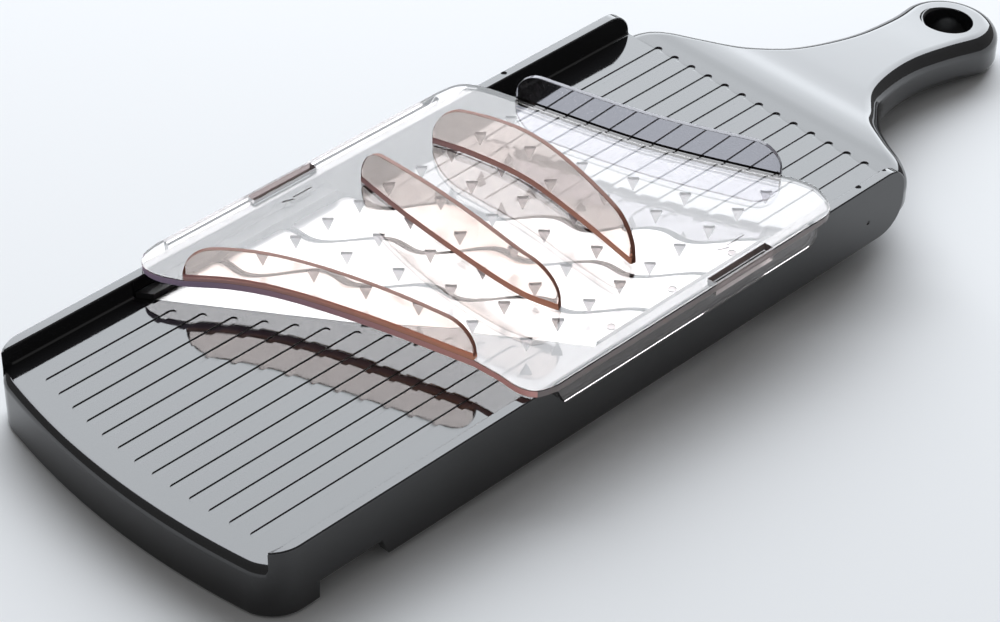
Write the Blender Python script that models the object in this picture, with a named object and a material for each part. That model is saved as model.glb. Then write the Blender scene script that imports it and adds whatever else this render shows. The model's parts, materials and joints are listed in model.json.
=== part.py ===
"""A mandoline slicer with three wavy blades and a clear food holder that slides on its rails.

Lengths are in millimetres here and become metres as each mesh is made. The parts are laid out in
the tray's own frame: +X right, +Y from the front edge to the handle, +Z up, with Z = 0 on the
bottom of the side walls and X = 0 in the middle. The handle droops below that level, so the whole
slicer hangs under one empty that tips it on to its front edge and the underside of its handle.
"""

import math

import bmesh
import bpy
from mathutils import Matrix, Vector

MM = 0.001
GAP = 0.3

# Tray.
HALF_WIDTH = 65.0
RAIL_WIDTH = 3.8
RAIL_TOP = 24.7
INNER = HALF_WIDTH - RAIL_WIDTH
FRONT_Y = 18.2
FRONT_RADIUS = 279.0
FRONT_CORNER = 13.0
FRONT_FILLET = 3.0
WALL_END_Y = 301.0
WALL_TOP_RADIUS = 9.0
WALL_BOTTOM_RADIUS = 11.0
DECK_THICKNESS = 3.0
HOOK_NOTCH = (42.6, 67.0, 69.5, 6.8)

# Decks: each blade stands one slice above the surface that feeds it.
FRONT_DECK = 18.15
SLICE = 1.05
REAR_DECK = FRONT_DECK - 3 * SLICE
SLOPE = 0.73
FRONT_DECK_EDGE = 122.3
SLOTS = (146.3, 174.4, 202.0)
SLOT_HALF = 1.45
WAVE_HEIGHT = 3.2
WAVE_LENGTH = 27.4
WAVE_CREST_X = -2.4

# Grooves that let air under the food.
GROOVE_COUNT = 13
GROOVE_PITCH = 7.87
GROOVE_WIDTH = 2.6
GROOVE_DEPTH = 0.4
FRONT_GROOVE_NEAR = 10.8
FRONT_GROOVE_FAR = 4.8
REAR_GROOVE_NEAR = 9.5
REAR_GROOVE_FAR_Y = 302.5

# Handle: half-width of its outline, then the height of its top and bottom faces, against Y.
HANDLE_OUTLINE = ((62.0, 288.0), (63.4, 299.0), (60.6, 308.0), (53.5, 314.3), (44.5, 319.2), (36.0, 325.0),
                  (28.0, 333.0), (21.5, 342.0), (17.2, 356.0), (15.2, 372.0), (16.2, 390.0), (17.9, 401.0))
TIP_Y = 405.4
TIP_RADIUS = 18.4
HANDLE_TOP = ((288.0, 14.86), (296.0, 14.97), (301.0, 15.03), (306.0, 15.4), (311.0, 15.8), (318.0, 15.3),
              (327.0, 13.6), (340.0, 12.2), (355.0, 10.3), (375.0, 7.5), (400.0, 3.7), (425.0, 1.3))
HANDLE_BOTTOM = ((288.0, 0.6), (312.0, 0.4), (325.0, -1.8), (340.0, -3.7), (355.0, -5.6), (375.0, -8.4),
                 (400.0, -12.2), (425.0, -14.6))
HANDLE_TOP_RADIUS = 6.15
HANDLE_BOTTOM_RADIUS = 3.9
HANG_HOLE_RADIUS = 8.5
HANG_HOLE_RIM = 1.6

# Blades, the frame under them and the strips that hold their ends.
BLADE_THICKNESS = 0.8
BLADE_BEVEL = 1.8
BLADE_HALF_LENGTH = 55.8
TAB_END = 59.6
TAB_INSET = 7.0
FRAME_BOTTOM = 7.0
FRAME_SIDE = 54.5
FRAME_REACH = INNER - GAP
FLANGE_TOP = 10.0
FLANGE_DEPTH = 13.0
BAR_WIDTH = 7.0
BAR_BEHIND_SLOT = 5.0
STRIP_INNER = 56.2
STRIP_TOP = 20.0

# Screws.
SCREW_HEAD_RADIUS = 1.9
SCREW_HEAD_HEIGHT = 1.4
SCREW_SHANK_RADIUS = 1.0
SCREW_HOLE_RADIUS = 1.3
STRIP_SCREW_X = 58.4
FRAME_SCREW_X = 38.0
BOSS_RADIUS = 3.2

# Holder.
PLATE_BOTTOM = RAIL_TOP + GAP
PLATE_TOP = 27.7
HOLDER_CENTRE_Y = 181.0
PLATE_HALF = 68.0
FRONT_FACE = ((-47.6, 86.9), (-34.2, 98.0), (-16.8, 107.0), (11.9, 116.9), (42.4, 125.2))
REAR_FACE = ((43.3, 263.3), (18.5, 252.0), (2.4, 245.5), (-15.1, 240.1), (-46.8, 231.9))
FRONT_RIGHT_CORNER = (FRONT_FACE[-1], (52.0, 126.0), (60.5, 126.2), (65.8, 129.0), (PLATE_HALF, 135.5))
REAR_RIGHT_CORNER = ((PLATE_HALF, 252.0), (67.4, 258.4), (63.0, 263.4), (55.5, 266.2), (49.2, 265.6),
                     REAR_FACE[0])
REAR_LEFT_CORNER = (REAR_FACE[-1], (-57.0, 229.0), (-63.3, 226.2), (-67.0, 221.8), (-PLATE_HALF, 214.0))
FRONT_LEFT_CORNER = ((-PLATE_HALF, 93.0), (-66.4, 86.4), (-61.5, 82.6), (-55.0, 83.0), FRONT_FACE[0])
SKIRT_INNER = HALF_WIDTH + 0.6
SKIRT_BOTTOM = 18.4
RIGHT_SKIRT_Y = (135.0, 253.0)
LEFT_SKIRT_Y = (214.0, 96.0)
RIGHT_WINDOW = (63.7, 67.0, 205.5, 232.0)
LEFT_WINDOW = (-67.0, -63.7, 130.0, 156.5)

# Fins: the line of one face, the side the thickness goes to, height, drop towards the ends, end radius.
FIN_THICKNESS = 2.3
FIN_SETBACK = 0.1
FIN_ROOT = 0.8
FINS = (
    (FRONT_FACE, 1, 13.8, 2.5, 10.0),
    (((-48.3, 161.6), (-22.0, 158.7), (9.0, 157.0), (30.0, 157.2), (43.0, 160.4)), 1, 19.0, 5.5, 11.0),
    (((-47.8, 192.9), (-33.3, 197.2), (-12.0, 200.1), (11.9, 198.0), (42.4, 193.1)), 1, 19.0, 5.5, 11.0),
    (REAR_FACE, 1, 12.2, 0.0, 10.0),
)
SPIKE_ORIGIN = (-7.0, 153.9)
SPIKE_COLUMN = (17.3, 6.1)
SPIKE_PITCH = 13.6
SPIKE_MARGIN = 9.0
SPIKE_HALF = 2.5
SPIKE_LENGTH = 4.8

# The slicer rests on its front bottom edge and on the handle.
TILT = math.radians(2.0)


def clear_scene():
    for item in list(bpy.data.objects):
        bpy.data.objects.remove(item)


def make_material(name, colour, roughness, metallic=0.0, alpha=1.0):
    material = bpy.data.materials.new(name)
    material.use_nodes = True
    shader = material.node_tree.nodes["Principled BSDF"]
    shader.inputs["Base Color"].default_value = (*colour, 1.0)
    shader.inputs["Roughness"].default_value = roughness
    shader.inputs["Metallic"].default_value = metallic
    shader.inputs["Alpha"].default_value = alpha
    return material


# Curves.

def arc(centre, radius, start, end, steps):
    """Points on an arc between two angles in degrees, both ends included."""
    points = []
    for index in range(steps + 1):
        angle = math.radians(start + (end - start) * index / steps)
        points.append((centre[0] + radius * math.cos(angle), centre[1] + radius * math.sin(angle)))
    return points


def smooth(points, steps):
    """A Catmull-Rom curve through the points, with the given number of steps between neighbours."""
    ends = [points[0], *points, points[-1]]
    curve = []
    for a, b, c, d in zip(ends, ends[1:], ends[2:], ends[3:]):
        for index in range(steps):
            t = index / steps
            curve.append(tuple(
                0.5 * (2 * q + (r - p) * t + (2 * p - 5 * q + 4 * r - s) * t * t
                       + (3 * q - p - 3 * r + s) * t ** 3)
                for p, q, r, s in zip(a, b, c, d)))
    curve.append(tuple(points[-1]))
    return curve


def height_at(table, y):
    """The height that a table of (y, height) gives at y, on a curve with no overshoot."""
    if y <= table[0][0]:
        return table[0][1]
    for index in range(len(table) - 1):
        (y0, z0), (y1, z1) = table[index], table[index + 1]
        if y <= y1:
            before = table[index - 1] if index else table[index]
            after = table[index + 2] if index + 2 < len(table) else table[index + 1]
            slope0 = (z1 - before[1]) / (y1 - before[0])
            slope1 = (after[1] - z0) / (after[0] - y0)
            t = (y - y0) / (y1 - y0)
            span = y1 - y0
            return ((2 * t ** 3 - 3 * t * t + 1) * z0 + (t ** 3 - 2 * t * t + t) * span * slope0
                    + (3 * t * t - 2 * t ** 3) * z1 + (t ** 3 - t * t) * span * slope1)
    return table[-1][1]


def wave(x):
    return WAVE_HEIGHT * math.cos(2 * math.pi * (x - WAVE_CREST_X) / WAVE_LENGTH)


def slanted(x, v):
    """A point of the blade bed, whose lines all run across the tray at one slope."""
    return (x, v + SLOPE * x)


def band(x0, x1, v0, v1):
    """The outline of a slanted band across the bed."""
    return [slanted(x0, v0), slanted(x1, v0), slanted(x1, v1), slanted(x0, v1)]


def wavy_line(v, half_length, steps):
    """A wavy edge from left to right."""
    points = []
    for index in range(steps + 1):
        x = -half_length + 2 * half_length * index / steps
        points.append(slanted(x, v + wave(x)))
    return points


# Meshes.

def new_object(name, bm, material=None):
    """Makes an object from a bmesh in millimetres."""
    bmesh.ops.recalc_face_normals(bm, faces=bm.faces)
    bmesh.ops.scale(bm, vec=(MM, MM, MM), verts=bm.verts)
    mesh = bpy.data.meshes.new(name)
    bm.to_mesh(mesh)
    bm.free()
    item = bpy.data.objects.new(name, mesh)
    bpy.context.scene.collection.objects.link(item)
    if material:
        mesh.materials.append(material)
    return item


def add_loft(bm, rings):
    """Joins rings of equal length, and closes the first and the last with one face each."""
    made = [[bm.verts.new(point) for point in ring] for ring in rings]
    for lower, upper in zip(made, made[1:]):
        count = len(lower)
        for index in range(count):
            following = (index + 1) % count
            bm.faces.new((lower[index], lower[following], upper[following], upper[index]))
    bm.faces.new(list(reversed(made[0])))
    bm.faces.new(made[-1])


def add_prism(bm, outline, low, high):
    """A solid with a plan outline between two heights."""
    add_loft(bm, [[(x, y, z) for x, y in outline] for z in (low, high)])


def prism(name, outline, low, high):
    bm = bmesh.new()
    add_prism(bm, outline, low, high)
    return new_object(name, bm)


def side_prism(name, outline, x0, x1):
    """A solid with a side outline of (y, z) points between two X values."""
    bm = bmesh.new()
    add_loft(bm, [[(x, y, z) for y, z in outline] for x in (x0, x1)])
    return new_object(name, bm)


def box(x0, x1, y0, y1):
    return [(x0, y0), (x1, y0), (x1, y1), (x0, y1)]


def add_turned(bm, centre, profile, steps):
    """A solid of revolution about a vertical axis, from (radius, height) points, bottom to top."""
    rings = []
    for radius, height in profile:
        ring = arc(centre, radius, 0.0, 360.0, steps)[:-1]
        rings.append([(x, y, height) for x, y in ring])
    add_loft(bm, rings)


def combine(target, tool, operation):
    """Applies one Boolean and removes its tool."""
    modifier = target.modifiers.new("Boolean", "BOOLEAN")
    modifier.operation = operation
    modifier.solver = "EXACT"
    modifier.object = tool
    graph = bpy.context.evaluated_depsgraph_get()
    result = bpy.data.meshes.new_from_object(target.evaluated_get(graph))
    result.name = target.name
    target.modifiers.clear()
    target.data = result
    bpy.data.objects.remove(tool)


def cut(target, tool):
    combine(target, tool, "DIFFERENCE")


def join(target, tool):
    combine(target, tool, "UNION")


# Main body.

def tray_outline():
    """The tray from above: a bowed front, round front corners, straight sides."""
    corner_x = HALF_WIDTH - FRONT_CORNER
    reach = FRONT_RADIUS - FRONT_CORNER
    bow_centre = FRONT_Y + FRONT_RADIUS
    corner_y = bow_centre - math.sqrt(reach ** 2 - corner_x ** 2)
    lean = math.degrees(math.asin(corner_x / reach))
    right = arc((corner_x, corner_y), FRONT_CORNER, -90.0 + lean, 0.0, 7)
    left = arc((-corner_x, corner_y), FRONT_CORNER, 180.0, 270.0 - lean, 7)
    bow = arc((0.0, bow_centre), FRONT_RADIUS, -90.0 - lean, -90.0 + lean, 12)
    return left + bow[1:-1] + right + [(HALF_WIDTH, WALL_END_Y), (-HALF_WIDTH, WALL_END_Y)]


def side_outline():
    """The tray from its side: a notch to hook over a bowl, and a round far end."""
    near, far, far_low, height = HOOK_NOTCH
    top = arc((WALL_END_Y - WALL_TOP_RADIUS, RAIL_TOP - WALL_TOP_RADIUS), WALL_TOP_RADIUS, 0.0, 90.0, 5)
    bottom = arc((WALL_END_Y - WALL_BOTTOM_RADIUS, WALL_BOTTOM_RADIUS), WALL_BOTTOM_RADIUS, -90.0, 0.0, 5)
    notch = [(near, 0.0), (near, height), (far, height), (far_low, 0.0)]
    return [(0.0, 0.0)] + notch + bottom + top + [(0.0, RAIL_TOP)]


def round_front_edge(body):
    """Rounds the edge where the front deck turns down into the front wall."""
    bm = bmesh.new()
    bm.from_mesh(body.data)
    level = FRONT_DECK * MM
    limit = (FRONT_Y + 0.5 * FRONT_CORNER) * MM
    tolerance = 0.01 * MM
    edges = []
    for edge in bm.edges:
        on_level = all(abs(vert.co.z - level) < tolerance for vert in edge.verts)
        along_front = all(vert.co.y < limit * 1.6 for vert in edge.verts)
        drops = any(abs(face.normal.z) < 0.1 and face.normal.y < -0.5 for face in edge.link_faces)
        if on_level and along_front and drops:
            edges.append(edge)
    bmesh.ops.bevel(bm, geom=edges, offset=FRONT_FILLET * MM, segments=3, profile=0.5, affect="EDGES")
    bm.to_mesh(body.data)
    bm.free()


def handle_outline():
    """The right-hand half of the handle and shoulder, from the tray to the tip."""
    side = smooth(HANDLE_OUTLINE, 3)
    start = math.degrees(math.asin((HANDLE_OUTLINE[-1][1] - TIP_Y) / TIP_RADIUS))
    tip = arc((0.0, TIP_Y), TIP_RADIUS, start, 90.0, 9)
    return side[:-1] + tip[:-1]


def handle_ring(half, inset, level):
    """One ring round the handle: its outline drawn in by inset, at the height that level gives for each Y."""
    count = len(half)
    right = []
    for index, (x, y) in enumerate(half):
        before = half[max(index - 1, 0)]
        after = half[index + 1] if index + 1 < count else (0.0, TIP_Y + TIP_RADIUS)
        along = Vector((after[0] - before[0], after[1] - before[1])).normalized()
        right.append((x - along.y * inset, y + along.x * inset if index else y))
    tip = (0.0, TIP_Y + TIP_RADIUS - inset)
    points = right + [tip] + [(-x, y) for x, y in reversed(right)]
    return [(x, y, level(y)) for x, y in points]


def make_handle():
    half = handle_outline()
    quarter = [math.radians(angle) for angle in (0, 18, 36, 54, 72, 90)]
    rings = []
    for angle in quarter[::2] + [quarter[-1]]:
        lift = HANDLE_BOTTOM_RADIUS * (1 - math.cos(angle))
        inset = HANDLE_BOTTOM_RADIUS * (1 - math.sin(angle))
        rings.append(handle_ring(half, inset, lambda y, lift=lift: height_at(HANDLE_BOTTOM, y) + lift))
    for angle in reversed(quarter):
        drop = HANDLE_TOP_RADIUS * (1 - math.cos(angle))
        inset = HANDLE_TOP_RADIUS * (1 - math.sin(angle))
        rings.append(handle_ring(half, inset, lambda y, drop=drop: height_at(HANDLE_TOP, y) - drop))
    bm = bmesh.new()
    made = [[bm.verts.new(point) for point in ring] for ring in rings]
    count = len(made[0])
    for lower, upper in zip(made, made[1:]):
        for index in range(count):
            following = (index + 1) % count
            bm.faces.new((lower[index], lower[following], upper[following], upper[index]))
    for ring in (made[0], made[-1]):
        for index in range(count // 2):
            corners = (ring[index], ring[index + 1], ring[count - 2 - index], ring[count - 1 - index])
            bm.faces.new(list(dict.fromkeys(corners)))
    return new_object("handle", bm)


def hang_hole_cutter():
    """The hanging hole, flared a little at both faces."""
    top = height_at(HANDLE_TOP, TIP_Y)
    bottom = height_at(HANDLE_BOTTOM, TIP_Y)
    wide = HANG_HOLE_RADIUS + HANG_HOLE_RIM
    profile = [(wide + 2.0, bottom - 4.0), (wide, bottom - 0.4), (HANG_HOLE_RADIUS, bottom + HANG_HOLE_RIM),
               (HANG_HOLE_RADIUS, top - HANG_HOLE_RIM), (wide, top + 0.4), (wide + 2.0, top + 4.0)]
    bm = bmesh.new()
    add_turned(bm, (0.0, TIP_Y), profile, 24)
    return new_object("hang_hole_cutter", bm)


def groove_xs():
    middle = (GROOVE_COUNT - 1) / 2
    return [(index - middle) * GROOVE_PITCH for index in range(GROOVE_COUNT)]


def groove_cutter(near, far, deck):
    """Round-ended grooves; near and far give each one's ends at its X."""
    radius = GROOVE_WIDTH / 2
    bm = bmesh.new()
    for x in groove_xs():
        outline = (arc((x, near(x) + radius), radius, 180.0, 360.0, 4)
                   + arc((x, far(x) - radius), radius, 0.0, 180.0, 4))
        add_prism(bm, outline, deck - GROOVE_DEPTH, deck + 2.0)
    return new_object("groove_cutter", bm)


def cut_underside(body):
    """Hollows the tray from below, to an even thickness under each deck."""
    inner_front = FRONT_Y + RAIL_WIDTH
    front = arc((0.0, inner_front + FRONT_RADIUS), FRONT_RADIUS, -90.0 - 11.0, -90.0 + 11.0, 8)
    sides = [(INNER, front[-1][1] + 8.0), slanted(INNER, SLOTS[1]), slanted(-INNER, SLOTS[1]),
             (-INNER, front[0][1] + 8.0)]
    cut(body, prism("front_hollow", front + sides, -5.0, FRONT_DECK - DECK_THICKNESS))
    rear = [slanted(-INNER, SLOTS[1] - 1.0), slanted(INNER, SLOTS[1] - 1.0), (INNER, 292.0), (-INNER, 292.0)]
    cut(body, prism("rear_hollow", rear, -5.0, REAR_DECK - DECK_THICKNESS))


def cut_window(body):
    """Opens the deck between the front deck's straight edge and the rear deck's wavy edge."""
    wavy = wavy_line(SLOTS[2] + SLOT_HALF, INNER, 40)
    outline = [slanted(-INNER, FRONT_DECK_EDGE), slanted(INNER, FRONT_DECK_EDGE)] + list(reversed(wavy))
    cut(body, prism("window", outline, -5.0, 40.0))


def add_ribs_and_bosses(body):
    """Stiffening ribs under both decks, and the posts that take the frame's screws."""
    bm = bmesh.new()
    for x in (-40.0, -20.0, 0.0, 20.0, 40.0):
        near = SLOTS[2] + FLANGE_DEPTH + 6.0 + SLOPE * x
        add_prism(bm, box(x - 0.9, x + 0.9, near, 294.0), 5.0, REAR_DECK - DECK_THICKNESS + 0.6)
    for x in (-30.0, 0.0, 30.0):
        far = FRONT_DECK_EDGE - FLANGE_DEPTH - 6.0 + SLOPE * x
        add_prism(bm, box(x - 0.9, x + 0.9, 24.0, far), 9.0, FRONT_DECK - DECK_THICKNESS + 0.6)
    for v, deck in ((front_screw_v(), FRONT_DECK), (rear_screw_v(), REAR_DECK)):
        for x in (-FRAME_SCREW_X, FRAME_SCREW_X):
            profile = [(BOSS_RADIUS, FLANGE_TOP + GAP), (BOSS_RADIUS, deck - DECK_THICKNESS + 0.6)]
            add_turned(bm, slanted(x, v), profile, 12)
    join(body, new_object("ribs", bm))
    bm = bmesh.new()
    for v, deck in ((front_screw_v(), FRONT_DECK), (rear_screw_v(), REAR_DECK)):
        for x in (-FRAME_SCREW_X, FRAME_SCREW_X):
            add_turned(bm, slanted(x, v), [(SCREW_HOLE_RADIUS, 5.0), (SCREW_HOLE_RADIUS, deck - 1.5)], 8)
    cut(body, new_object("boss_holes", bm))


def front_screw_v():
    return FRONT_DECK_EDGE - FLANGE_DEPTH / 2 - 1.0


def rear_screw_v():
    return SLOTS[2] + FLANGE_DEPTH / 2 + 3.0


def make_main_body(material):
    body = prism("main_body", tray_outline(), 0.0, RAIL_TOP)
    combine(body, side_prism("side_profile", side_outline(), -80.0, 80.0), "INTERSECT")
    cut(body, prism("channel", box(-INNER, INNER, -10.0, 330.0), FRONT_DECK, 40.0))
    round_front_edge(body)
    rear = [slanted(-INNER, SLOTS[1]), slanted(INNER, SLOTS[1]), (INNER, 330.0), (-INNER, 330.0)]
    cut(body, prism("rear_channel", rear, REAR_DECK, 30.0))
    cut_underside(body)
    join(body, make_handle())
    cut_window(body)
    cut(body, hang_hole_cutter())
    add_ribs_and_bosses(body)

    def front_near(x):
        return FRONT_Y + FRONT_GROOVE_NEAR + x * x / (2 * FRONT_RADIUS)

    def front_far(x):
        return FRONT_DECK_EDGE - FRONT_GROOVE_FAR + SLOPE * x

    def rear_near(x):
        return SLOTS[2] + REAR_GROOVE_NEAR + SLOPE * x

    def rear_far(x):
        return REAR_GROOVE_FAR_Y

    cut(body, groove_cutter(front_near, front_far, FRONT_DECK))
    cut(body, groove_cutter(rear_near, rear_far, REAR_DECK))
    body.data.materials.clear()
    body.data.materials.append(material)
    return body


# Blade bed.

def zone_tops():
    """(first v, last v, blade's top) of the front, middle and rear blades."""
    starts = (FRONT_DECK_EDGE, *SLOTS[:2])
    return [(start, end, FRONT_DECK - SLICE * index) for index, (start, end) in enumerate(zip(starts, SLOTS))]


def tab_range(zone):
    return zone[0] + TAB_INSET, zone[1] - TAB_INSET


def make_blade(name, zone, straight_back, material):
    """A steel strip whose far edge is ground to a wavy cutting edge, with a tab at each end."""
    start, end, top = zone
    steps = 40
    tab = tab_range(zone)

    def outline(edge):
        if straight_back:
            near = [slanted(-BLADE_HALF_LENGTH, start + GAP), slanted(BLADE_HALF_LENGTH, start + GAP)]
        else:
            near = wavy_line(start + SLOT_HALF, BLADE_HALF_LENGTH, steps)
        far = list(reversed(wavy_line(end - SLOT_HALF - edge, BLADE_HALF_LENGTH, steps)))
        right = [slanted(BLADE_HALF_LENGTH, tab[0]), slanted(TAB_END, tab[0]), slanted(TAB_END, tab[1]),
                 slanted(BLADE_HALF_LENGTH, tab[1])]
        left = [slanted(-BLADE_HALF_LENGTH, tab[1]), slanted(-TAB_END, tab[1]), slanted(-TAB_END, tab[0]),
                slanted(-BLADE_HALF_LENGTH, tab[0])]
        return near + right + far + left

    bm = bmesh.new()
    add_loft(bm, [[(x, y, top - BLADE_THICKNESS) for x, y in outline(BLADE_BEVEL)],
                  [(x, y, top) for x, y in outline(0.0)]])
    return new_object(name, bm, material)


def make_blade_frame(material):
    """The slanted frame under the blades: two side bars, three cross bars and a flange at each end."""
    zones = zone_tops()
    first = FRONT_DECK_EDGE + 2 * GAP
    last = SLOTS[2] - 2.0
    seat = [top - BLADE_THICKNESS - GAP for _, _, top in zones]
    frame = prism("blade_frame", band(-FRAME_REACH, FRAME_REACH, first, last), FRAME_BOTTOM, seat[0])
    for index in (1, 2):
        step = zones[index][0] - TAB_INSET + GAP
        cut(frame, prism("step", band(-80.0, 80.0, step, last + 5.0), seat[index], 30.0))
    flange_near = band(-FRAME_REACH, FRAME_REACH, first - FLANGE_DEPTH, first + 1.0)
    flange_far = band(-FRAME_REACH, FRAME_REACH, last - 1.0, SLOTS[2] + FLANGE_DEPTH)
    for outline in (flange_near, flange_far):
        join(frame, prism("flange", outline, FRAME_BOTTOM, FLANGE_TOP))
    bars = (first, SLOTS[0] + BAR_BEHIND_SLOT, SLOTS[1] + BAR_BEHIND_SLOT, SLOTS[2] + BAR_BEHIND_SLOT)
    chutes = [(near + BAR_WIDTH, far) for near, far in zip(bars, bars[1:])]
    for near, far in chutes:
        cut(frame, prism("chute", band(-FRAME_SIDE, FRAME_SIDE, near, far), -5.0, 30.0))
    bm = bmesh.new()
    for x, v in strip_screws() + frame_screws():
        add_turned(bm, slanted(x, v), [(SCREW_HOLE_RADIUS, -5.0), (SCREW_HOLE_RADIUS, 30.0)], 8)
    cut(frame, new_object("screw_holes", bm))
    frame.data.materials.clear()
    frame.data.materials.append(material)
    return frame


def foot_ranges():
    """The stretches of a strip between the blade tabs, where its screws go."""
    tabs = [tab_range(zone) for zone in zone_tops()]
    starts = [FRONT_DECK_EDGE + 2 * GAP] + [tab[1] + 2 * GAP for tab in tabs]
    ends = [tab[0] - 2 * GAP for tab in tabs] + [SLOTS[2] - 2.0]
    return list(zip(starts, ends))


def strip_screws():
    spots = []
    for side in (-1, 1):
        for start, end in foot_ranges():
            spots.append((side * STRIP_SCREW_X, (start + end) / 2))
    return spots


def frame_screws():
    return [(side * FRAME_SCREW_X, v) for v in (front_screw_v(), rear_screw_v()) for side in (-1, 1)]


def make_strip(name, side, material):
    """A strip along one rail: it presses on the blade tabs and stands on the frame between them."""
    zones = zone_tops()
    feet = foot_ranges()
    seats = [zone[2] - BLADE_THICKNESS for zone in (zones[0], zones[1], zones[2], zones[2])]
    lower = []
    for index, (start, end) in enumerate(feet):
        lower.append((start, seats[index]))
        lower.append((end, seats[index]))
        if index < len(zones):
            above = zones[index][2] + GAP
            lower.append((end, above))
            lower.append((feet[index + 1][0], above))
    outline = lower + [(feet[-1][1], STRIP_TOP), (feet[0][0], STRIP_TOP)]
    x_range = sorted((side * STRIP_INNER, side * FRAME_REACH))
    bm = bmesh.new()
    add_loft(bm, [[(x, v + SLOPE * x, z) for v, z in outline] for x in x_range])
    strip = new_object(name, bm)
    bm = bmesh.new()
    for x, v in strip_screws():
        if x * side > 0:
            add_turned(bm, slanted(x, v), [(SCREW_HOLE_RADIUS, 0.0), (SCREW_HOLE_RADIUS, STRIP_TOP - 0.8)], 8)
    cut(strip, new_object("blind_holes", bm))
    strip.data.materials.clear()
    strip.data.materials.append(material)
    return strip


def make_screw(name, spot, tip, material):
    """A pan-head screw driven up through the frame from below."""
    centre = slanted(*spot)
    head_top = FRAME_BOTTOM - GAP
    head_bottom = head_top - SCREW_HEAD_HEIGHT
    profile = [(SCREW_HEAD_RADIUS * 0.75, head_bottom), (SCREW_HEAD_RADIUS, head_bottom + 0.4),
               (SCREW_HEAD_RADIUS, head_top), (SCREW_SHANK_RADIUS, head_top), (SCREW_SHANK_RADIUS, tip - 0.6),
               (SCREW_SHANK_RADIUS * 0.4, tip)]
    bm = bmesh.new()
    add_turned(bm, centre, profile, 10)
    return new_object(name, bm, material)


def make_screws(material):
    made = []
    for index, spot in enumerate(strip_screws()):
        side = "left" if spot[0] < 0 else "right"
        made.append(make_screw(f"{side}_strip_screw_{index % 4 + 1}", spot, STRIP_TOP - 1.1, material))
    tips = (FRONT_DECK - 1.8, FRONT_DECK - 1.8, REAR_DECK - 1.8, REAR_DECK - 1.8)
    for index, (spot, tip) in enumerate(zip(frame_screws(), tips)):
        made.append(make_screw(f"frame_screw_{index + 1}", spot, tip, material))
    return made


# Holder.

def fin_mesh(bm, line, side, height, drop, end_radius):
    """An upright fin beside a curved line, lower towards its ends and with a round shoulder at each."""
    path = smooth(line, 3)
    lengths = [0.0]
    for a, b in zip(path, path[1:]):
        lengths.append(lengths[-1] + math.dist(a, b))
    total = lengths[-1]
    ends = [end_radius * (1 - math.cos(math.radians(angle))) for angle in (0, 15, 30, 45, 60, 75, 90)]
    middle = [s for s in lengths if end_radius * 1.15 < s < total - end_radius * 1.15]
    rings = []
    for s in ends + middle + [total - s for s in reversed(ends)]:
        index = max(0, min(len(path) - 2, sum(1 for length in lengths[1:] if length < s)))
        share = (s - lengths[index]) / (lengths[index + 1] - lengths[index])
        here = Vector(path[index]).lerp(Vector(path[index + 1]), share)
        along = (Vector(path[index + 1]) - Vector(path[index])).normalized()
        across = Vector((-along.y, along.x)) * side
        near = here + across * FIN_SETBACK
        far = here + across * (FIN_SETBACK + FIN_THICKNESS)
        inner = min(s, total - s, end_radius)
        shoulder = end_radius * (1 - math.sqrt(max(0.0, 1 - (1 - inner / end_radius) ** 2)))
        top = PLATE_TOP + height - drop * (2 * s / total - 1) ** 2 - shoulder
        low = PLATE_TOP - FIN_ROOT
        rings.append([(*near, low), (*far, low), (*far, top), (*near, top)])
    add_loft(bm, rings)


def face_y(face, x):
    """The Y of a plate edge at x."""
    return height_at(sorted(face), x)


def spike_spots():
    """A slanted grid that stays inside the plate and between the rails."""
    spots = []
    for column in range(-2, 4):
        x = SPIKE_ORIGIN[0] + column * SPIKE_COLUMN[0]
        for row in range(-8, 9):
            y = SPIKE_ORIGIN[1] + column * SPIKE_COLUMN[1] + row * SPIKE_PITCH
            if face_y(FRONT_FACE, x) + SPIKE_MARGIN < y < face_y(REAR_FACE, x) - SPIKE_MARGIN:
                spots.append((x, y))
    return spots


def add_spike(bm, x, y):
    h = SPIKE_HALF
    corners = ((x - h, y), (x, y - h), (x + h, y), (x, y + h))
    base = [bm.verts.new((*corner, PLATE_BOTTOM + 0.8)) for corner in corners]
    tip = bm.verts.new((x, y, PLATE_BOTTOM - SPIKE_LENGTH))
    bm.faces.new(base)
    for index in range(4):
        bm.faces.new((base[index], base[(index + 1) % 4], tip))


def skirt_outline(start, end):
    """A skirt from its side, as (y, z) points: square at its start, round at its end."""
    on = math.copysign(1.0, end - start)
    low = ((start + 4.0 * on, SKIRT_BOTTOM), (end - 4.0 * on, SKIRT_BOTTOM),
           (end - 1.2 * on, SKIRT_BOTTOM + 1.2), (end, SKIRT_BOTTOM + 4.0))
    high = ((end, PLATE_TOP - 0.6), (start + 0.5 * on, PLATE_TOP - 0.6), (start + 0.5 * on, PLATE_BOTTOM))
    return low + high


def plate_outline():
    """The plate from above, anticlockwise from the left end of its front edge."""
    outline = []
    for stretch in (FRONT_FACE, FRONT_RIGHT_CORNER, REAR_RIGHT_CORNER, REAR_FACE, REAR_LEFT_CORNER,
                    FRONT_LEFT_CORNER):
        curve = smooth(stretch, 3)
        outline += curve if not outline or curve[0] != outline[-1] else curve[1:]
    return outline[:-1]


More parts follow.
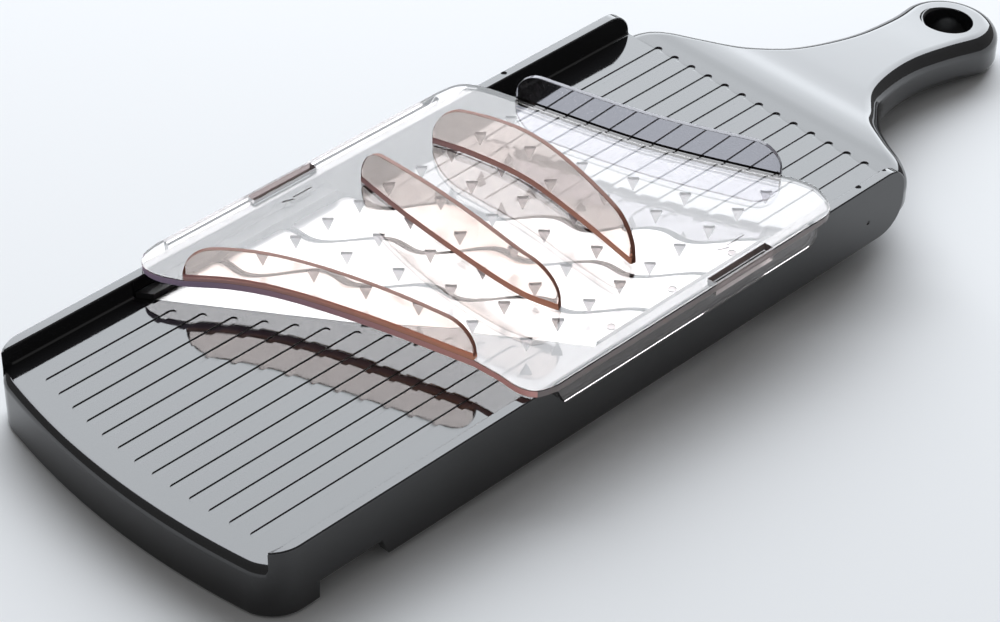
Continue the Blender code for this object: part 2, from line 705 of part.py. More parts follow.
def make_holder(material):
    holder = prism("food_holder", plate_outline(), PLATE_BOTTOM, PLATE_TOP)
    bm = bmesh.new()
    for side, (start, end) in ((1, RIGHT_SKIRT_Y), (-1, LEFT_SKIRT_Y)):
        x_range = sorted((side * SKIRT_INNER, side * (PLATE_HALF - 0.1)))
        add_loft(bm, [[(x, y, z) for y, z in skirt_outline(start, end)] for x in x_range])
    for fin in FINS:
        fin_mesh(bm, *fin)
    for x, y in spike_spots():
        add_spike(bm, x, y)
    join(holder, new_object("holder_details", bm))
    bm = bmesh.new()
    for window in (RIGHT_WINDOW, LEFT_WINDOW):
        add_prism(bm, box(*window), PLATE_BOTTOM - 2.0, PLATE_TOP + 2.0)
    cut(holder, new_object("slot_windows", bm))
    holder.data.materials.clear()
    holder.data.materials.append(material)
    return holder


# Placing.

def move_origin(item, origin):
    """Puts an object's origin at a point of the tray's frame, leaving its mesh where it is."""
    offset = Vector(origin) * MM
    item.data.transform(Matrix.Translation(-offset))
    item.location = offset


def stand_on_table(items, body):
    """Tips every part on to the front edge and the handle, with the origin under the middle of the whole."""
    frame = bpy.data.objects.new("slicer", None)
    bpy.context.scene.collection.objects.link(frame)
    turn = Matrix.Rotation(TILT, 3, "X")
    corners = [turn @ vert.co for vert in body.data.vertices]
    ys = [corner.y for corner in corners]
    frame.rotation_euler = (TILT, 0.0, 0.0)
    frame.location = (0.0, -(min(ys) + max(ys)) / 2, -min(corner.z for corner in corners))
    for item in items:
        item.parent = frame


def shade(item):
    item.data.shade_smooth()
    item.data.set_sharp_from_angle(angle=math.radians(35.0))


def main():
    clear_scene()
    black = make_material("black_gloss_plastic", (0.012, 0.012, 0.013), 0.12)
    inner_black = make_material("black_satin_plastic", (0.02, 0.02, 0.021), 0.4)
    steel = make_material("ground_steel", (0.72, 0.72, 0.71), 0.18, 1.0)
    screw_steel = make_material("screw_steel", (0.6, 0.6, 0.6), 0.3, 1.0)
    clear = make_material("clear_plastic", (0.9, 0.82, 0.8), 0.05, 0.0, 0.35)
    body = make_main_body(black)
    zones = zone_tops()
    items = [
        body,
        make_blade_frame(inner_black),
        make_blade("front_blade", zones[0], True, steel),
        make_blade("middle_blade", zones[1], False, steel),
        make_blade("rear_blade", zones[2], False, steel),
        make_strip("left_blade_strip", -1, inner_black),
        make_strip("right_blade_strip", 1, inner_black),
    ]
    items += make_screws(screw_steel)
    holder = make_holder(clear)
    move_origin(holder, (0.0, HOLDER_CENTRE_Y, RAIL_TOP))
    items.append(holder)
    stand_on_table(items, body)
    for item in items:
        shade(item)


main()
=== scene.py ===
"""The looks of the mandoline slicer: fine meshes, materials, studio light and camera.

Lengths are in millimetres in the tray's own frame: +X right, +Y from the front edge to the handle
and +Z up from the bottom of the side walls. new_object() turns them into metres, and put() moves
each finished mesh into the row frame.
"""

import json
import math

import bmesh
import bpy
from mathutils import Matrix, Vector


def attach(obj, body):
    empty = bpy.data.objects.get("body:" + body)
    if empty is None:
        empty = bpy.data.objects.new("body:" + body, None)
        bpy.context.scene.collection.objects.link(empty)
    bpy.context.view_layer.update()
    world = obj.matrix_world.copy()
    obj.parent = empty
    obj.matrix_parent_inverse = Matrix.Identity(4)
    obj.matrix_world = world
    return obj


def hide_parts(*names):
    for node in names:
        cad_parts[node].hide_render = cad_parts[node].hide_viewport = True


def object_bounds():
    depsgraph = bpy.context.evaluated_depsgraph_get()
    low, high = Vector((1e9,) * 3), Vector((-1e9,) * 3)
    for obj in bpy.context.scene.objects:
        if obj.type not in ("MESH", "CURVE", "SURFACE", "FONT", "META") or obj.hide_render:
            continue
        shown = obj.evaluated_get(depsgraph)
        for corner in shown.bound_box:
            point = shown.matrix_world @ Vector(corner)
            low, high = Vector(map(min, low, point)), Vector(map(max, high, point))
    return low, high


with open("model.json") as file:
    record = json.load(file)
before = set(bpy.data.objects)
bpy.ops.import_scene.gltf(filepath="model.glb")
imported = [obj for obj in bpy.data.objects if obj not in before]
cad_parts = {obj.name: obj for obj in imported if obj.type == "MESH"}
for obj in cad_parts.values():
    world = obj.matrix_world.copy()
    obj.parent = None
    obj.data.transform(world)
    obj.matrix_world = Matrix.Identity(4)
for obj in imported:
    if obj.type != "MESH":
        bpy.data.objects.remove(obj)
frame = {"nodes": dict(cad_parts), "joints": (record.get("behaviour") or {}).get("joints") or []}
CAD_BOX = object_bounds()

MM = 0.001
LOW = -5.0
HIGH = 40.0
BEYOND_Y = 330.0
OVERLAP = 0.6

# Tray.
HALF_WIDTH = 65.0
RAIL_WIDTH = 3.8
RAIL_TOP = 24.7
INNER = HALF_WIDTH - RAIL_WIDTH
FRONT_Y = 18.2
FRONT_RADIUS = 279.0
FRONT_CORNER = 13.0
FRONT_FILLET = 3.0
WALL_END_Y = 301.0
WALL_TOP_RADIUS = 9.0
WALL_BOTTOM_RADIUS = 11.0
EDGE_RADIUS = 0.55
DECK_FILLET = 0.8
DECK_THICKNESS = 3.0
HOOK_NOTCH = (42.6, 67.0, 69.5, 6.8)

# Hollow underside, its ribs and the posts for the frame's screws.
HOLLOW_BOW_ANGLES = (-101.0, -79.0)
HOLLOW_CORNER = 8.0
HOLLOW_FAR_Y = 292.0
RIB_HALF = 0.9
RIB_CLEARANCE = 6.0
FRONT_RIB_XS = (-30.0, 0.0, 30.0)
FRONT_RIB_NEAR_Y = 24.0
FRONT_RIB_BOTTOM = 9.0
REAR_RIB_XS = (-40.0, -20.0, 0.0, 20.0, 40.0)
REAR_RIB_FAR_Y = 294.0
REAR_RIB_BOTTOM = 5.0
BOSS_RADIUS = 3.2
SCREW_HOLE_RADIUS = 1.3
SCREW_HOLE_BOTTOM = 5.0
SCREW_HOLE_ROOF = 1.5
FRAME_SCREW_X = 38.0

# Decks and the blade bed.
FRONT_DECK = 18.15
SLICE = 1.05
REAR_DECK = FRONT_DECK - 3 * SLICE
SLOPE = 0.73
FRONT_DECK_EDGE = 122.3
SLOTS = (146.3, 174.4, 202.0)
SLOT_HALF = 1.45
WAVE_HEIGHT = 3.2
WAVE_LENGTH = 27.4
WAVE_CREST_X = -2.4
WAVE_STEPS = 150

# Grooves. The section gives half-width and height, from the floor to just above the deck.
GROOVE_COUNT = 13
GROOVE_PITCH = 7.87
GROOVE_HALF = 1.3
GROOVE_SECTION = ((1.16, -0.4), (1.26, -0.35), (1.3, -0.26), (1.3, -0.1), (1.34, -0.03),
                  (1.44, 0.02), (2.6, 1.2))
FRONT_GROOVE_NEAR = 10.8
FRONT_GROOVE_FAR = 4.8
REAR_GROOVE_NEAR = 9.5
REAR_GROOVE_FAR_Y = 302.5

# Handle: half-width of its outline, then the height of its top and bottom faces, against Y.
HANDLE_OUTLINE = ((62.0, 288.0), (63.4, 299.0), (60.6, 308.0), (53.5, 314.3), (44.5, 319.2),
                  (36.0, 325.0), (28.0, 333.0), (21.5, 342.0), (17.2, 356.0), (15.2, 372.0),
                  (16.2, 390.0), (17.9, 401.0))
TIP_Y = 405.4
TIP_RADIUS = 18.4
HANDLE_TOP = ((288.0, 13.5), (296.0, 14.5), (301.0, 15.04), (306.0, 15.4), (311.0, 15.8), (318.0, 15.3),
              (327.0, 13.6), (340.0, 12.2), (355.0, 10.3), (375.0, 7.5), (400.0, 3.7), (425.0, 1.3))
HANDLE_BOTTOM = ((288.0, 0.6), (312.0, 0.4), (325.0, -1.8), (340.0, -3.7), (355.0, -5.6), (375.0, -8.4),
                 (400.0, -12.2), (425.0, -14.6))
HANDLE_TOP_RADIUS = 6.15
HANDLE_BOTTOM_RADIUS = 3.9
HANG_HOLE_RADIUS = 8.5
HANG_HOLE_RIM = 1.6

# Small hollow marks in the moulding, as (x, y, z, radius).
MARKS = ((-63.7, 241.7, 25.0, 1.1), (62.2, 279.3, 25.0, 1.1), (61.9, 292.6, 24.9, 0.8),
         (65.4, 283.0, 9.7, 0.9))

# Blades, and the frame's flange under them.
BLADE_THICKNESS = 0.8
BLADE_BEVEL = 2.3
BLADE_BEVEL_DROP = 0.7
BLADE_BACK_DROP = 0.1
BLADE_HALF_LENGTH = 55.8
TAB_END = 59.6
TAB_INSET = 7.0
FLANGE_TOP = 10.0
FLANGE_DEPTH = 13.0
GAP = 0.3

# Holder. Each fin is its line, height, drop towards its ends, and end radius.
PLATE_BOTTOM = RAIL_TOP + GAP
PLATE_TOP = 27.7
PLATE_EDGE = 0.45
PLATE_HALF = 68.0
FRONT_FACE = ((-47.6, 86.9), (-34.2, 98.0), (-16.8, 107.0), (11.9, 116.9), (42.4, 125.2))
REAR_FACE = ((43.3, 263.3), (18.5, 252.0), (2.4, 245.5), (-15.1, 240.1), (-46.8, 231.9))
FRONT_RIGHT_CORNER = (FRONT_FACE[-1], (52.0, 126.0), (60.5, 126.2), (65.8, 129.0), (PLATE_HALF, 135.5))
REAR_RIGHT_CORNER = ((PLATE_HALF, 252.0), (67.4, 258.4), (63.0, 263.4), (55.5, 266.2), (49.2, 265.6),
                     REAR_FACE[0])
REAR_LEFT_CORNER = (REAR_FACE[-1], (-57.0, 229.0), (-63.3, 226.2), (-67.0, 221.8), (-PLATE_HALF, 214.0))
FRONT_LEFT_CORNER = ((-PLATE_HALF, 93.0), (-66.4, 86.4), (-61.5, 82.6), (-55.0, 83.0), FRONT_FACE[0])
SKIRT_INNER = HALF_WIDTH + 0.6
SKIRT_OUTER = PLATE_HALF - 0.1
SKIRT_BOTTOM = 18.4
SKIRT_RADIUS = 4.0
SKIRT_EDGE = 0.3
RIGHT_SKIRT_Y = (135.0, 253.0)
LEFT_SKIRT_Y = (214.0, 96.0)
RIGHT_WINDOW = (63.7, 67.0, 205.5, 232.0)
LEFT_WINDOW = (-67.0, -63.7, 130.0, 156.5)
FIN_THICKNESS = 2.2
FIN_DRAFT = 0.3
FIN_EDGE = 0.15
FIN_FOOT = 1.3
FIN_SETBACK = 0.1
FIN_ROOT = 0.8
FIN_END_SHARE = 0.35
FIN_END_LENGTH = 1.2
NEAR_GRIP = ((-48.3, 161.6), (-22.0, 158.7), (9.0, 157.0), (30.0, 157.2), (43.0, 160.4))
FAR_GRIP = ((-47.8, 192.9), (-33.3, 197.2), (-12.0, 200.1), (11.9, 198.0), (42.4, 193.1))
FINS = (
    (FRONT_FACE, 13.8, 2.5, 10.0),
    (NEAR_GRIP, 19.0, 5.5, 11.0),
    (FAR_GRIP, 19.0, 5.5, 11.0),
    (REAR_FACE, 12.2, 0.0, 10.0),
)
SPIKE_ORIGIN = (-7.0, 153.9)
SPIKE_COLUMN = (17.3, 6.1)
SPIKE_PITCH = 13.6
SPIKE_MARGIN = 9.0
SPIKE_HALF = 1.9
SPIKE_DEPTH = 0.7
SPIKE_LENGTH = 4.8
SPIKE_TIP_SHARE = 0.08
SPIKE_ROOT = 0.8
PEGS = ((58.5, 168.0), (58.6, 195.0), (59.0, 222.0))
PEG_RADIUS = 1.4
PEG_HALF = 0.5

# Arrows on the plate, which point to the front, as (x, y) of their tails.
ARROWS = ((56.0, 230.0), (-57.0, 148.0))
ARROW_LENGTH = 12.0
ARROW_SHAFT = 8.0
ARROW_HALF = 1.7
ARROW_SHAFT_HALF = 0.5
ARROW_DEPTH = 0.5
ARROW_HEIGHT = 0.3

# The holder's lit and shaded copies of one clear plastic, which paint light and shade onto it, in the
# order of holder_materials(), and where some of them begin.
CLEAR, FIN_TOP, RIM, FOOT, FIN, FAR_FIN, FAR_TOP, SPIKE, SIDE = range(9)
BACK_SLOPE = 0.35
BACK_MARGIN = 12.0
FRONT_MARGIN = 4.0
FOOT_BOTTOM = 0.4
FIN_END_X = 38.0

# Shading of edges.
SMOOTH_ANGLE = 35.0
SOFT_EDGE = 0.2
SOFT_EDGE_ANGLE = 50.0

# The clear plastic's depth of tint, and where its painted glow, an emission, turns from the left tint
# to the right.
ABSORB_COLOUR = (0.8, 0.55, 0.45, 1.0)
ABSORB_DENSITY = 16.0
GLOW_LEFT = -0.045
GLOW_RIGHT = 0.035

# Studio, in metres in the row frame.
SOFTBOX_AT = (-1.6, 1.6, 1.6)
SOFTBOX_AIM = (0.0, 0.05, 0.0)
SOFTBOX_SIZE = (3.8, 2.6)
SOFTBOX_POWER = 160.0
SOFTBOX_COLOUR = (0.905, 0.95, 1.0)
SKY_STRENGTH = 0.2
FLOOR_HALF = 4.0
FLOOR_DROP = 0.0002

# Camera, in the tray's frame.
CAMERA_AT = (549.17, -366.74, 611.52)
CAMERA_AZIMUTH = 45.226
CAMERA_ELEVATION = 38.648
CAMERA_ROLL = 0.7555
CAMERA_LENS = 110.06
CAMERA_SENSOR = 36.0
CAMERA_CLIP = 30.0


# Curves.

def arc(centre, radius, start, end, steps):
    """Points on an arc between two angles in degrees, both ends included."""
    points = []
    for index in range(steps + 1):
        angle = math.radians(start + (end - start) * index / steps)
        points.append((centre[0] + radius * math.cos(angle), centre[1] + radius * math.sin(angle)))
    return points


def smooth(points, steps):
    """A Catmull-Rom curve through the points, with the given number of steps between neighbours."""
    ends = [points[0], *points, points[-1]]
    curve = []
    for a, b, c, d in zip(ends, ends[1:], ends[2:], ends[3:]):
        for index in range(steps):
            t = index / steps
            curve.append(tuple(
                0.5 * (2 * q + (r - p) * t + (2 * p - 5 * q + 4 * r - s) * t * t
                       + (3 * q - p - 3 * r + s) * t ** 3)
                for p, q, r, s in zip(a, b, c, d)))
    curve.append(tuple(points[-1]))
    return curve


def height_at(table, y):
    """The height that a table of (y, height) gives at y, on a smooth curve."""
    if y <= table[0][0]:
        return table[0][1]
    for index in range(len(table) - 1):
        (y0, z0), (y1, z1) = table[index], table[index + 1]
        if y <= y1:
            before = table[index - 1] if index else table[index]
            after = table[index + 2] if index + 2 < len(table) else table[index + 1]
            slope0 = (z1 - before[1]) / (y1 - before[0])
            slope1 = (after[1] - z0) / (after[0] - y0)
            t = (y - y0) / (y1 - y0)
            span = y1 - y0
            return ((2 * t ** 3 - 3 * t * t + 1) * z0 + (t ** 3 - 2 * t * t + t) * span * slope0
                    + (3 * t * t - 2 * t ** 3) * z1 + (t ** 3 - t * t) * span * slope1)
    return table[-1][1]


def wave(x):
    """How far a wavy edge stands out of its straight line."""
    return WAVE_HEIGHT * math.cos(2 * math.pi * (x - WAVE_CREST_X) / WAVE_LENGTH)


def slanted(x, v):
    """A point of the blade bed, whose lines all run across the tray at one slope."""
    return (x, v + SLOPE * x)


def wavy_line(v, half_length, steps):
    """A wavy edge from left to right."""
    points = []
    for index in range(steps + 1):
        x = -half_length + 2 * half_length * index / steps
        points.append(slanted(x, v + wave(x)))
    return points


# Meshes.

def new_object(name, bm):
    """Makes an object from a bmesh in millimetres."""
    bmesh.ops.recalc_face_normals(bm, faces=bm.faces)
    bmesh.ops.scale(bm, vec=(MM, MM, MM), verts=bm.verts)
    mesh = bpy.data.meshes.new(name)
    bm.to_mesh(mesh)
    bm.free()
    item = bpy.data.objects.new(name, mesh)
    bpy.context.scene.collection.objects.link(item)
    return item


def add_walls(bm, rings):
    """Joins rings of equal length, and returns their vertices."""
    made = [[bm.verts.new(point) for point in ring] for ring in rings]
    for lower, upper in zip(made, made[1:]):
        count = len(lower)
        for index in range(count):
            following = (index + 1) % count
            bm.faces.new((lower[index], lower[following], upper[following], upper[index]))
    return made


def add_loft(bm, rings):
    """A solid through rings of equal length, with one face at each end."""
    made = add_walls(bm, rings)
    bm.faces.new(list(reversed(made[0])))
    bm.faces.new(made[-1])


def add_prism(bm, outline, low, high):
    """An upright solid with an outline of (x, y) points between two heights."""
    add_loft(bm, [[(x, y, z) for x, y in outline] for z in (low, high)])


def prism(name, outline, low, high):
    bm = bmesh.new()
    add_prism(bm, outline, low, high)
    return new_object(name, bm)


def side_prism(name, outline, x0, x1):
    """A solid with a side outline of (y, z) points between two X values."""
    bm = bmesh.new()
    add_loft(bm, [[(x, y, z) for y, z in outline] for x in (x0, x1)])
    return new_object(name, bm)


def box(x0, x1, y0, y1):
    """A rectangle's outline."""
    return [(x0, y0), (x1, y0), (x1, y1), (x0, y1)]


def add_turned(bm, centre, profile, steps):
    """A solid of revolution about a vertical axis, from (radius, height) points, bottom to top."""
    rings = []
    for radius, height in profile:
        ring = arc(centre, radius, 0.0, 360.0, steps)[:-1]
        rings.append([(x, y, height) for x, y in ring])
    add_loft(bm, rings)


def combine(target, tool, operation):
    """Applies one Boolean and removes its tool."""
    modifier = target.modifiers.new("Boolean", "BOOLEAN")
    modifier.operation = operation
    modifier.solver = "EXACT"
    modifier.object = tool
    graph = bpy.context.evaluated_depsgraph_get()
    result = bpy.data.meshes.new_from_object(target.evaluated_get(graph))
    result.name = target.name
    target.modifiers.clear()
    target.data = result
    bpy.data.objects.remove(tool)


def cut(target, tool):
    combine(target, tool, "DIFFERENCE")


def join(target, tool):
    combine(target, tool, "UNION")


def round_edges(item, chosen, width, segments):
    """Rounds the edges that chosen(middle in millimetres, first normal, second normal) picks."""
    bm = bmesh.new()
    bm.from_mesh(item.data)
    bm.normal_update()
    edges = []
    for edge in bm.edges:
        if len(edge.link_faces) == 2:
            middle = (edge.verts[0].co + edge.verts[1].co) / (2 * MM)
            if chosen(middle, edge.link_faces[0].normal, edge.link_faces[1].normal):
                edges.append(edge)
    bmesh.ops.bevel(bm, geom=edges, offset=width * MM, offset_type="OFFSET", segments=segments,
                    profile=0.5, affect="EDGES", clamp_overlap=False)
    bm.to_mesh(item.data)
    bm.free()


def close_holes(item):
    """Fills any small gap that rounding and cutting left in a mesh."""
    bm = bmesh.new()
    bm.from_mesh(item.data)
    bmesh.ops.holes_fill(bm, edges=[edge for edge in bm.edges if edge.is_boundary], sides=0)
    bmesh.ops.recalc_face_normals(bm, faces=bm.faces)
    bm.to_mesh(item.data)
    bm.free()


def sharp(first, second, degrees=40.0):
    """Whether two faces meet at more than this angle."""
    return first.angle(second, 0.0) > math.radians(degrees)


# Main body.

def tray_outline():
    """The tray from above: a bowed front, round front corners, straight sides."""
    corner_x = HALF_WIDTH - FRONT_CORNER
    reach = FRONT_RADIUS - FRONT_CORNER
    bow_centre = FRONT_Y + FRONT_RADIUS
    corner_y = bow_centre - math.sqrt(reach ** 2 - corner_x ** 2)
    lean = math.degrees(math.asin(corner_x / reach))
    right = arc((corner_x, corner_y), FRONT_CORNER, -90.0 + lean, 0.0, 16)
    left = arc((-corner_x, corner_y), FRONT_CORNER, 180.0, 270.0 - lean, 16)
    bow = arc((0.0, bow_centre), FRONT_RADIUS, -90.0 - lean, -90.0 + lean, 40)
    return left + bow[1:-1] + right + [(HALF_WIDTH, WALL_END_Y), (-HALF_WIDTH, WALL_END_Y)]


def side_outline():
    """The tray from its side: a notch to hook over a bowl, and a round far end."""
    near, far, far_low, height = HOOK_NOTCH
    top_centre = (WALL_END_Y - WALL_TOP_RADIUS, RAIL_TOP - WALL_TOP_RADIUS)
    bottom_centre = (WALL_END_Y - WALL_BOTTOM_RADIUS, WALL_BOTTOM_RADIUS)
    top = arc(top_centre, WALL_TOP_RADIUS, 0.0, 90.0, 14)
    bottom = arc(bottom_centre, WALL_BOTTOM_RADIUS, -90.0, 0.0, 14)
    notch = [(near, 0.0), (near, height), (far, height), (far_low, 0.0)]
    return [(0.0, 0.0)] + notch + bottom + top + [(0.0, RAIL_TOP)]


def on_front_edge(middle, first, second):
    """The edge where the front deck turns down into the front wall."""
    on_level = abs(middle.z - FRONT_DECK) < 0.02
    drops = min(first.y, second.y) < -0.5
    return on_level and middle.y < FRONT_Y + FRONT_CORNER and drops and sharp(first, second, 60.0)


def on_rail(middle, first, second):
    """The sharp outer edges of the rails and walls."""
    level = max(first.z, second.z) > 0.9 and abs(middle.z - RAIL_TOP) < 0.02
    bottom = min(first.z, second.z) < -0.9 and middle.z < HOOK_NOTCH[3] + 0.1
    end = middle.y > WALL_END_Y - WALL_BOTTOM_RADIUS - 0.1 and abs(middle.x) > INNER - 0.1
    return sharp(first, second) and (level or bottom or end)


def on_deck_corner(middle, first, second):
    """The inner corner between a deck and a rail."""
    upright = max(abs(first.x), abs(second.x)) > 0.99
    flat = max(first.z, second.z) > 0.99
    return upright and flat and abs(abs(middle.x) - INNER) < 0.02 and middle.z < RAIL_TOP - 2.0


def handle_outline():
    """The right-hand half of the handle and shoulder, from the tray to the tip."""
    side = smooth(HANDLE_OUTLINE, 7)
    start = math.degrees(math.asin((HANDLE_OUTLINE[-1][1] - TIP_Y) / TIP_RADIUS))
    tip = arc((0.0, TIP_Y), TIP_RADIUS, start, 90.0, 26)
    return side[:-1] + tip[:-1]


def handle_ring(half, inset, table, shift):
    """One ring round the handle: its outline drawn in by inset, and a table's heights shifted."""
    count = len(half)
    right = []
    for index, (x, y) in enumerate(half):
        before = half[max(index - 1, 0)]
        after = half[index + 1] if index + 1 < count else (0.0, TIP_Y + TIP_RADIUS)
        along = Vector((after[0] - before[0], after[1] - before[1])).normalized()
        right.append((x - along.y * inset, y + along.x * inset if index else y))
    tip = (0.0, TIP_Y + TIP_RADIUS - inset)
    points = right + [tip] + [(-x, y) for x, y in reversed(right)]
    return [(x, y, height_at(table, y) + shift) for x, y in points]


def make_handle():
    """The shoulder and handle, with round edges above and below."""
    half = handle_outline()
    quarter = [math.radians(angle) for angle in range(0, 91, 9)]
    rings = []
    for angle in quarter:
        lift = HANDLE_BOTTOM_RADIUS * (1 - math.cos(angle))
        inset = HANDLE_BOTTOM_RADIUS * (1 - math.sin(angle))
        rings.append(handle_ring(half, inset, HANDLE_BOTTOM, lift))
    for angle in reversed(quarter):
        drop = HANDLE_TOP_RADIUS * (1 - math.cos(angle))
        inset = HANDLE_TOP_RADIUS * (1 - math.sin(angle))
        rings.append(handle_ring(half, inset, HANDLE_TOP, -drop))
    bm = bmesh.new()
    made = add_walls(bm, rings)
    count = len(made[0])
    for ring in (made[0], made[-1]):
        for index in range(count // 2):
            corners = (ring[index], ring[index + 1], ring[count - 2 - index], ring[count - 1 - index])
            bm.faces.new(list(dict.fromkeys(corners)))
    return new_object("handle", bm)


def hang_hole_cutter():
    """The hanging hole, with a rolled rim at both faces."""
    top = height_at(HANDLE_TOP, TIP_Y)
    bottom = height_at(HANDLE_BOTTOM, TIP_Y)
    rim = HANG_HOLE_RADIUS + HANG_HOLE_RIM
    lower = arc((rim, bottom + HANG_HOLE_RIM), HANG_HOLE_RIM, 260.0, 180.0, 8)
    upper = arc((rim, top - HANG_HOLE_RIM), HANG_HOLE_RIM, 180.0, 100.0, 8)
    profile = [(rim + 3.0, bottom - 4.0)] + lower + upper + [(rim + 3.0, top + 4.0)]
    bm = bmesh.new()
    add_turned(bm, (0.0, TIP_Y), profile, 64)
    return new_object("hang_hole_cutter", bm)


def groove_xs():
    """The X of each groove."""
    middle = (GROOVE_COUNT - 1) / 2
    return [(index - middle) * GROOVE_PITCH for index in range(GROOVE_COUNT)]


def groove_cutter(near, far, deck):
    """Round-ended grooves; near and far give each one's ends at its X."""
    bm = bmesh.new()
    for x in groove_xs():
        rings = []
        for half, height in GROOVE_SECTION:
            start = arc((x, near(x) + GROOVE_HALF), half, 180.0, 360.0, 10)
            end = arc((x, far(x) - GROOVE_HALF), half, 0.0, 180.0, 10)
            rings.append([(px, py, deck + height) for px, py in start + end])
        add_loft(bm, rings)
    return new_object("groove_cutter", bm)


def cut_underside(body):
    """Hollows the tray from below, to an even thickness under each deck."""
    inner_front = FRONT_Y + RAIL_WIDTH
    front = arc((0.0, inner_front + FRONT_RADIUS), FRONT_RADIUS, *HOLLOW_BOW_ANGLES, 24)
    sides = [(INNER, front[-1][1] + HOLLOW_CORNER), slanted(INNER, SLOTS[1]), slanted(-INNER, SLOTS[1]),
             (-INNER, front[0][1] + HOLLOW_CORNER)]
    cut(body, prism("front_hollow", front + sides, LOW, FRONT_DECK - DECK_THICKNESS))
    rear = [slanted(-INNER, SLOTS[1] - 1.0), slanted(INNER, SLOTS[1] - 1.0), (INNER, HOLLOW_FAR_Y),
            (-INNER, HOLLOW_FAR_Y)]
    cut(body, prism("rear_hollow", rear, LOW, REAR_DECK - DECK_THICKNESS))


def cut_window(body):
    """Opens the deck between the front deck's straight edge and the rear deck's wavy edge."""
    wavy = wavy_line(SLOTS[2] + SLOT_HALF, INNER, WAVE_STEPS)
    outline = [slanted(-INNER, FRONT_DECK_EDGE), slanted(INNER, FRONT_DECK_EDGE)] + list(reversed(wavy))
    cut(body, prism("window", outline, LOW, HIGH))


def frame_screw_spots():
    """(centre, deck height) of each screw that holds the frame."""
    front_v = FRONT_DECK_EDGE - FLANGE_DEPTH / 2 - 1.0
    rear_v = SLOTS[2] + FLANGE_DEPTH / 2 + 3.0
    return [(slanted(x, v), deck) for v, deck in ((front_v, FRONT_DECK), (rear_v, REAR_DECK))
            for x in (-FRAME_SCREW_X, FRAME_SCREW_X)]


def add_ribs_and_bosses(body):
    """Stiffening ribs under both decks, and the posts that take the frame's screws."""
    bm = bmesh.new()
    for x in REAR_RIB_XS:
        near = SLOTS[2] + FLANGE_DEPTH + RIB_CLEARANCE + SLOPE * x
        add_prism(bm, box(x - RIB_HALF, x + RIB_HALF, near, REAR_RIB_FAR_Y), REAR_RIB_BOTTOM,
                  REAR_DECK - DECK_THICKNESS + OVERLAP)
    for x in FRONT_RIB_XS:
        far = FRONT_DECK_EDGE - FLANGE_DEPTH - RIB_CLEARANCE + SLOPE * x
        add_prism(bm, box(x - RIB_HALF, x + RIB_HALF, FRONT_RIB_NEAR_Y, far), FRONT_RIB_BOTTOM,
                  FRONT_DECK - DECK_THICKNESS + OVERLAP)
    for spot, deck in frame_screw_spots():
        post = [(BOSS_RADIUS, FLANGE_TOP + GAP), (BOSS_RADIUS, deck - DECK_THICKNESS + OVERLAP)]
        add_turned(bm, spot, post, 32)
    join(body, new_object("ribs", bm))
    bm = bmesh.new()
    for spot, deck in frame_screw_spots():
        hole = [(SCREW_HOLE_RADIUS, SCREW_HOLE_BOTTOM), (SCREW_HOLE_RADIUS, deck - SCREW_HOLE_ROOF)]
        add_turned(bm, spot, hole, 20)
    cut(body, new_object("boss_holes", bm))


def cut_marks(body):
    """Small round hollows left in the moulding."""
    bm = bmesh.new()
    for x, y, z, radius in MARKS:
        place = Matrix.Translation((x, y, z))
        bmesh.ops.create_uvsphere(bm, u_segments=20, v_segments=12, radius=radius, matrix=place)
    cut(body, new_object("marks", bm))


def make_main_body():
    """The black moulding: tray, decks, grooves, shoulder and handle."""
    body = prism("tray_body", tray_outline(), 0.0, RAIL_TOP)
    combine(body, side_prism("side_profile", side_outline(), -80.0, 80.0), "INTERSECT")
    cut(body, prism("channel", box(-INNER, INNER, -10.0, BEYOND_Y), FRONT_DECK, HIGH))
    round_edges(body, on_front_edge, FRONT_FILLET, 8)
    rear = [slanted(-INNER, SLOTS[1]), slanted(INNER, SLOTS[1]), (INNER, BEYOND_Y), (-INNER, BEYOND_Y)]
    cut(body, prism("rear_channel", rear, REAR_DECK, 30.0))
    round_edges(body, on_rail, EDGE_RADIUS, 3)
    round_edges(body, on_deck_corner, DECK_FILLET, 4)
    cut_underside(body)
    close_holes(body)
    join(body, make_handle())
    cut_window(body)
    cut(body, hang_hole_cutter())
    add_ribs_and_bosses(body)

    def front_near(x):
        return FRONT_Y + FRONT_GROOVE_NEAR + x * x / (2 * FRONT_RADIUS)

    def front_far(x):
        return FRONT_DECK_EDGE - FRONT_GROOVE_FAR + SLOPE * x

    def rear_near(x):
        return SLOTS[2] + REAR_GROOVE_NEAR + SLOPE * x

    def rear_far(x):
        return REAR_GROOVE_FAR_Y

    cut(body, groove_cutter(front_near, front_far, FRONT_DECK))
    cut(body, groove_cutter(rear_near, rear_far, REAR_DECK))
    cut_marks(body)
    return body


# Blades.

def zone_tops():
    """(first v, last v, blade's top) of the front, middle and rear blades."""
    starts = (FRONT_DECK_EDGE, *SLOTS[:2])
    return [(start, end, FRONT_DECK - SLICE * index)
            for index, (start, end) in enumerate(zip(starts, SLOTS))]


